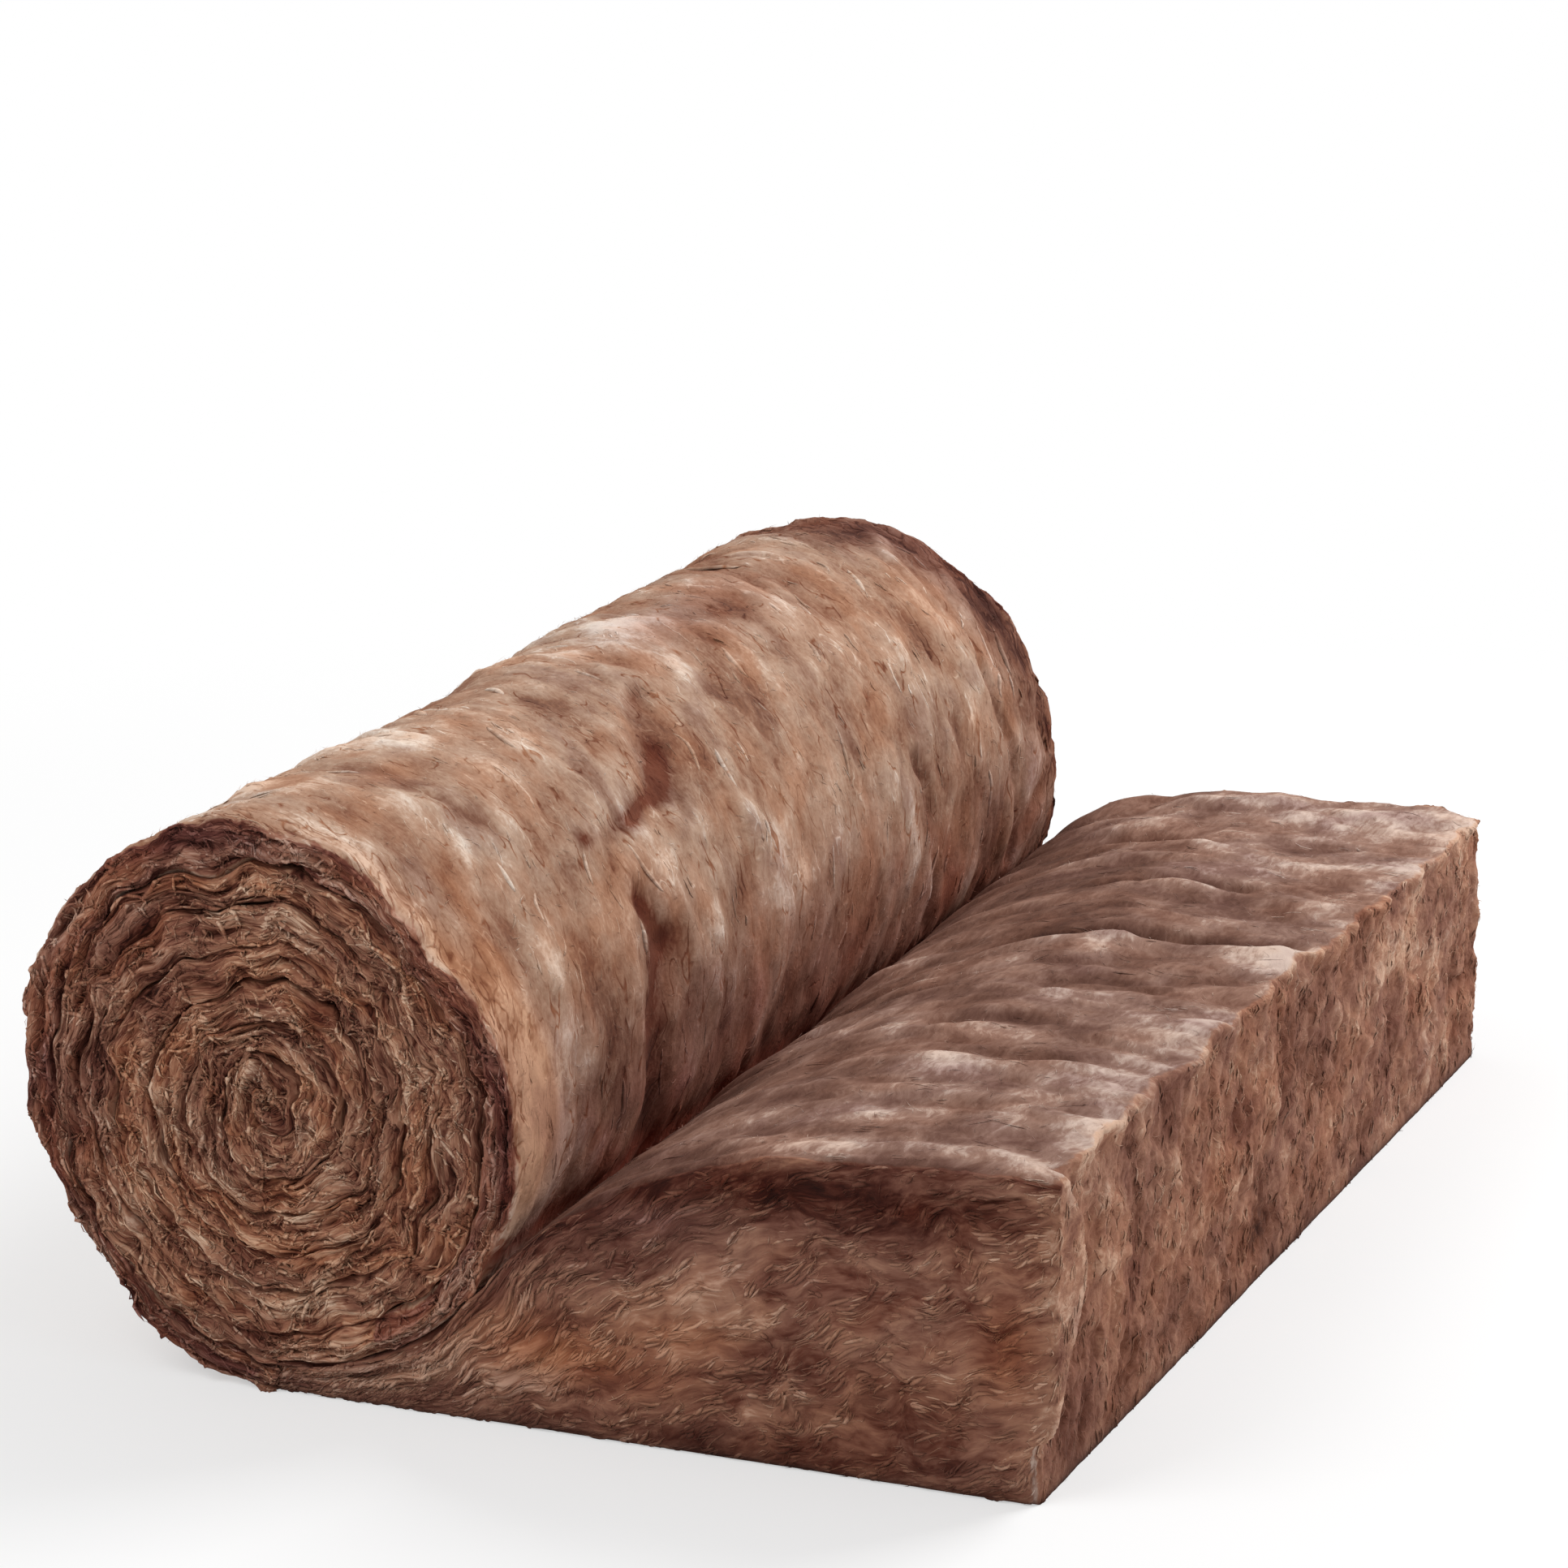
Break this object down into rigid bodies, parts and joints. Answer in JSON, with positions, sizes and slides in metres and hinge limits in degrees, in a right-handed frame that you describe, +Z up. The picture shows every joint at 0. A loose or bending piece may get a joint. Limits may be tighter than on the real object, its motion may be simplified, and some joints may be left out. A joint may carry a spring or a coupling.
{
  "type": "insulation roll",
  "caption": "Brown glass wool mat wound into a tight roll, its free end unrolled on the floor and swollen back to full thickness.",
  "frame": {"origin": "middle of the footprint, on the floor that the mat lies on", "axes": "+Y across the mat, along the roll's axis; +X along the flat mat towards its cut end; +Z up"},
  "size_m": [0.8481, 1.2, 0.4523],
  "materials": {
    "glass_wool": "matte fibrous glass wool, brown binder, laminated fibres, torn fuzzy edges"
  },
  "bodies": {
    "root": {"wool_mat": "glass_wool"}
  },
  "joints": []
}
